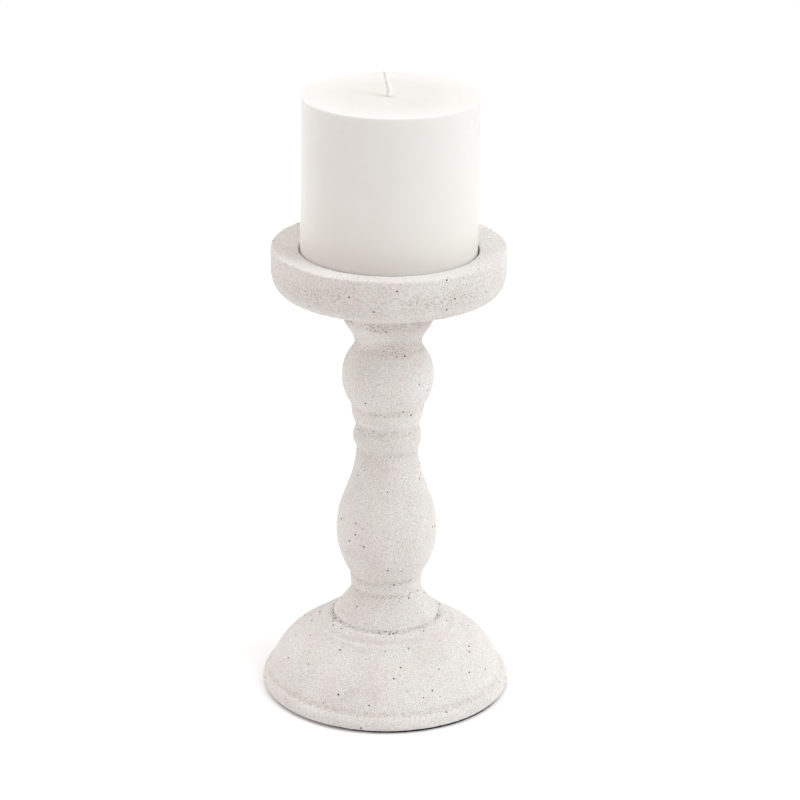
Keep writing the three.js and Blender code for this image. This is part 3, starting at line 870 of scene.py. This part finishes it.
def makeWick(shape):
    low, wax, high = lowOf("wick"), highOf("candle"), highOf("wick")
    stub = high - wax
    shares, leanX, leanY = (np.array(column) for column in zip(*shape["lean"]))
    heights = np.arange(low, high, shape["step"])
    share = np.clip((heights - wax) / stub, 0, 1)
    lineX, lineY = np.interp(share, shares, leanX), np.interp(share, shares, leanY)
    smooth = np.ones(5) / 5
    lineX = np.convolve(np.pad(lineX, 2, mode="edge"), smooth, "valid")
    lineY = np.convolve(np.pad(lineY, 2, mode="edge"), smooth, "valid")
    sides, places, faces = shape["sides"], [], []
    for strand in range(shape["strands"]):
        first = len(places)
        turn = heights / shape["twistPitch"] * 2 * math.pi + strand * 2 * math.pi / shape["strands"]
        swell = shape["bulge"] * np.exp(-((share - 0.25) / 0.14) ** 2)      # a bead of old wax
        spread = shape["twistRadius"] + swell + shape["fray"] * np.clip((share - 0.82) / 0.18, 0, 1) ** 2
        axis = np.stack([lineX + spread * np.cos(turn), lineY + spread * np.sin(turn), heights], axis=1)
        along = np.gradient(axis, axis=0)
        along /= np.linalg.norm(along, axis=1)[:, None]
        across = np.cross(along, (0.0, 1.0, 0.0))
        across /= np.linalg.norm(across, axis=1)[:, None]
        other = np.cross(along, across)
        taper = np.sqrt(np.clip((high - heights) / 0.6, 0.15, 1)) * (shape["strandRadius"] + swell)
        for k in range(len(heights)):
            for j in range(sides):
                angle = j * 2 * math.pi / sides
                offset = across[k] * math.cos(angle) + other[k] * math.sin(angle)
                places.append(axis[k] + offset * taper[k])
        for k in range(len(heights) - 1):
            for j in range(sides):
                a, b = first + k * sides + j, first + k * sides + (j + 1) % sides
                faces.append((a, b, b + sides, a + sides))
        faces.append(tuple(first + j for j in reversed(range(sides))))
        faces.append(tuple(first + (len(heights) - 1) * sides + j for j in range(sides)))
    mesh = bpy.data.meshes.new("braidedWick")
    mesh.from_pydata((np.array(places) * mm).tolist(), [], faces)
    mesh.polygons.foreach_set("use_smooth", np.ones(len(faces), bool))
    mesh.update()
    wick = bpy.data.objects.new("braidedWick", mesh)
    bpy.context.scene.collection.objects.link(wick)
    leanOver(wick, lowOf("candle"), wax)
    fitPiece(wick, "wick", "candle", "wick_cotton", wickCotton)


tabShape = {"columns": 96, "holeRadius": 1.3, "neckRadius": 2.6, "thickness": 0.6, "edge": 0.15}


def makeWickTab(shape):
    low, high, radius = lowOf("wick_tab"), highOf("wick_tab"), radiusOf("wick_tab")
    edge, top = shape["edge"], low + shape["thickness"]
    s = Section(shape["holeRadius"], low)
    s.lineTo(radius - edge, low, 0.8)
    s.roundTo(radius, low, radius, low + edge, 0.1)
    s.lineTo(radius, top - edge, 0.2)
    s.roundTo(radius, top, radius - edge, top, 0.1)
    s.lineTo(shape["neckRadius"] + 1, top, 0.8)
    s.roundTo(shape["neckRadius"], top, shape["neckRadius"], top + 1, 0.15)
    s.lineTo(shape["neckRadius"] - 0.3, high - 0.6, 0.3)
    s.roundTo(shape["neckRadius"] - 0.3, high, shape["neckRadius"] - 0.6, high, 0.1)
    s.lineTo(shape["holeRadius"], high, 0.3)
    s.lineTo(shape["holeRadius"], low, 0.8)

    def crimped(r, z, angle):
        pinch = np.clip((z - top - 1) / 1.5, 0, 1) * (r > shape["holeRadius"] + 0.4)
        return r - 0.18 * pinch * (0.5 + 0.5 * np.cos(4 * angle)), z

    tab = turnPiece("wickTab", s, shape["columns"], shape=crimped)
    fitPiece(tab, "wick_tab", "candle", "tab_tin", tabTin)


screwShape = {
    "columns": 64,
    "rootRadius": 1.7,
    "crestRadius": 2.35,
    "headRadius": 4.6,
    "pitch": 2.1,
    "pointLength": 5.0,
    "plainShank": 4.0,
    "slotLength": 2.5,
    "slotWidth": 0.5,
    "slotDepth": 1.6,
}


# a wood screw along the axis: face is the head's face, and drive is +1 for a screw driven upwards
def makeScrew(name, node, face, tip, headHeight, cone, drive, shape):
    def rise(distance):
        return face + drive * distance

    root, crest, head = shape["rootRadius"], shape["crestRadius"], shape["headRadius"]
    length = abs(tip - face)
    s = Section(0, face)
    s.lineTo(head * 0.6, face, 0.16)
    if cone:
        s.lineTo(head, face, 0.16)
        s.lineTo(head, rise(0.3), 0.2)
        s.lineTo(crest, rise(headHeight), 0.4)
    else:
        s.roundTo(head, face, head, rise(headHeight * 0.7), 0.2)
        s.lineTo(head, rise(headHeight), 0.3)
        s.lineTo(crest, rise(headHeight), 0.4)
    s.lineTo(crest, rise(headHeight + shape["plainShank"]), 0.8)
    s.lineTo(root, rise(headHeight + shape["plainShank"] + 1), 0.25)
    s.lineTo(root, rise(length - shape["pointLength"]), 0.22)
    s.lineTo(0, tip, 0.22)
    threadStart = headHeight + shape["plainShank"] + 1

    def cut(r, z, angle):
        depth = abs(z[0] - face)
        if depth > threadStart:
            turn = (z / shape["pitch"] - angle / (2 * math.pi)) % 1
            ridge = np.clip(1 - np.abs(turn - 0.5) * 4, 0, 1)
            fade = min(1, (depth - threadStart) / 2) * min(1, (length - depth) / shape["pointLength"])
            return r + ridge * fade * (crest - root), z
        if depth < 0.01 and r[0] < head * 0.62:
            x, y = np.abs(r * np.cos(angle)), np.abs(r * np.sin(angle))
            along = (np.minimum(x, y) < shape["slotWidth"]) & (np.maximum(x, y) < shape["slotLength"])
            return r, z + drive * along * shape["slotDepth"] * (1 - 0.35 * r / shape["slotLength"])
        return r, z

    if drive < 0:
        s.points.reverse()
        s.bare.reverse()
    screw = turnPiece(name, s, shape["columns"], shape=cut)
    fitPiece(screw, node, "holder", "screw_steel", zincSteel)


washerShape = {"columns": 96, "holeRadius": 2.6, "edge": 0.2}


def makeWasher(shape):
    low, high, radius = lowOf("base_washer"), highOf("base_washer"), radiusOf("base_washer")
    edge, hole = shape["edge"], shape["holeRadius"]
    s = Section(hole, low + edge)
    s.roundTo(hole, low, hole + edge, low, 0.1)
    s.lineTo(radius - edge, low, 0.6)
    s.roundTo(radius, low, radius, low + edge, 0.1)
    s.lineTo(radius, high - edge, 0.3)
    s.roundTo(radius, high, radius - edge, high, 0.1)
    s.lineTo(hole + edge, high, 0.6)
    s.roundTo(hole, high, hole, high - edge, 0.1)
    s.lineTo(hole, low + edge, 0.3)
    washer = turnPiece("screwWasher", s, shape["columns"])
    fitPiece(washer, "base_washer", "holder", "screw_steel", zincSteel)


makeFoot(footShape)
makeStem(stemShape)
makeTray(trayShape)
makePad(padShape)
makeCandle(candleShape)
makeWick(wickShape)
makeWickTab(tabShape)
makeScrew("footScrew", "base_screw", lowOf("base_screw"), highOf("base_screw"), 3.2, False, 1, screwShape)
makeScrew("trayScrew", "tray_screw", highOf("tray_screw"), lowOf("tray_screw"), 2.9, True, -1, screwShape)
makeWasher(washerShape)


studio = {
    "floorRadius": 1.1,
    "floorSides": 96,
    "floorColour": (0.90, 0.90, 0.90),
    "floorGlow": 0.0,
    "world": (1.0, 0.90, 0.85),
    "worldStrength": 0.56,
    # each lamp: name, place, size, watts, colour
    "lamps": (
        ("overhead", (0.0, 0.1, 2.0), 1.8, 18.0, (0.95, 0.98, 1.0)),
        ("keyRight", (1.5, -0.9, 1.7), 1.1, 20.0, (0.86, 0.96, 1.0)),
        ("sideRight", (1.9, 0.0, 0.8), 1.2, 13.0, (0.96, 0.99, 1.0)),
        ("frontLeft", (-1.6, -1.2, 0.9), 1.4, 10.5, (0.94, 0.97, 1.0)),
        ("backLeft", (-1.4, 1.3, 0.8), 1.2, 16.5, (0.94, 0.99, 1.0)),
    ),
    "lampAim": 0.13,
    "lens": 135.0,
    "distance": 1.319,
    "elevation": 21.0,
    "aim": (0.0054, 0.0, 0.13604),
    "roll": 0.62,
}


def makeStudio(setup):
    scene = bpy.context.scene
    radius, sides = setup["floorRadius"], setup["floorSides"]
    mesh = bpy.data.meshes.new("studioFloor")
    angles = [2 * math.pi * k / sides for k in range(sides)]
    edge = [(radius * math.cos(angle), radius * math.sin(angle), 0) for angle in angles]
    mesh.from_pydata(edge, [], [tuple(range(sides))])
    floor = bpy.data.objects.new("studioFloor", mesh)
    scene.collection.objects.link(floor)
    material, tree, shader = startMaterial("studioPaper", {"Roughness": 0.8, "Specular IOR Level": 0.1})
    setInputs(shader, {"Base Color": (*setup["floorColour"], 1), "Emission Strength": setup["floorGlow"],
                       "Emission Color": (1, 1, 1, 1)})
    mesh.materials.append(material)
    world = bpy.data.worlds.new("studioLight")
    world.use_nodes = True
    background = world.node_tree.nodes["Background"]
    background.inputs["Color"].default_value = (*setup["world"], 1)
    background.inputs["Strength"].default_value = setup["worldStrength"]
    # the view past the floor's edge is plain white; the light on the pieces stays soft and warm
    plain = addNode(world.node_tree, "ShaderNodeBackground", 0, -200)
    setInputs(plain, {"Color": (1, 1, 1, 1), "Strength": 1.0})
    path = addNode(world.node_tree, "ShaderNodeLightPath", 0, 300)
    either = addNode(world.node_tree, "ShaderNodeMixShader", 250, 0)
    links = world.node_tree.links
    links.new(path.outputs["Is Camera Ray"], either.inputs[0])
    links.new(background.outputs[0], either.inputs[1])
    links.new(plain.outputs[0], either.inputs[2])
    links.new(either.outputs[0], world.node_tree.nodes["World Output"].inputs["Surface"])
    scene.world = world
    for name, place, size, watts, colour in setup["lamps"]:
        light = bpy.data.lights.new(name, "AREA")
        light.shape, light.size, light.energy, light.color = "DISK", size, watts, colour
        lamp = bpy.data.objects.new(name, light)
        lamp.location = place
        aim = Vector((0, 0, setup["lampAim"])) - Vector(place)
        lamp.rotation_euler = aim.to_track_quat("-Z", "Y").to_euler()
        scene.collection.objects.link(lamp)


def makeCamera(setup):
    data = bpy.data.cameras.new("studioCamera")
    data.lens, data.sensor_width = setup["lens"], 36.0
    data.clip_start, data.clip_end = 0.05, 50.0
    camera = bpy.data.objects.new("studioCamera", data)
    tilt = math.radians(setup["elevation"])
    back = Vector((0, -math.cos(tilt), math.sin(tilt)))
    turn = (-back).to_track_quat("-Z", "Y").to_matrix().to_4x4()
    place = Matrix.Translation(Vector(setup["aim"]) + back * setup["distance"])
    camera.matrix_world = place @ turn @ Matrix.Rotation(math.radians(setup["roll"]), 4, "Z")
    bpy.context.scene.collection.objects.link(camera)
    bpy.context.scene.camera = camera


makeStudio(studio)
makeCamera(studio)
bpy.context.scene.view_settings.view_transform = "Standard"
print("candlestick: studio and camera ready")
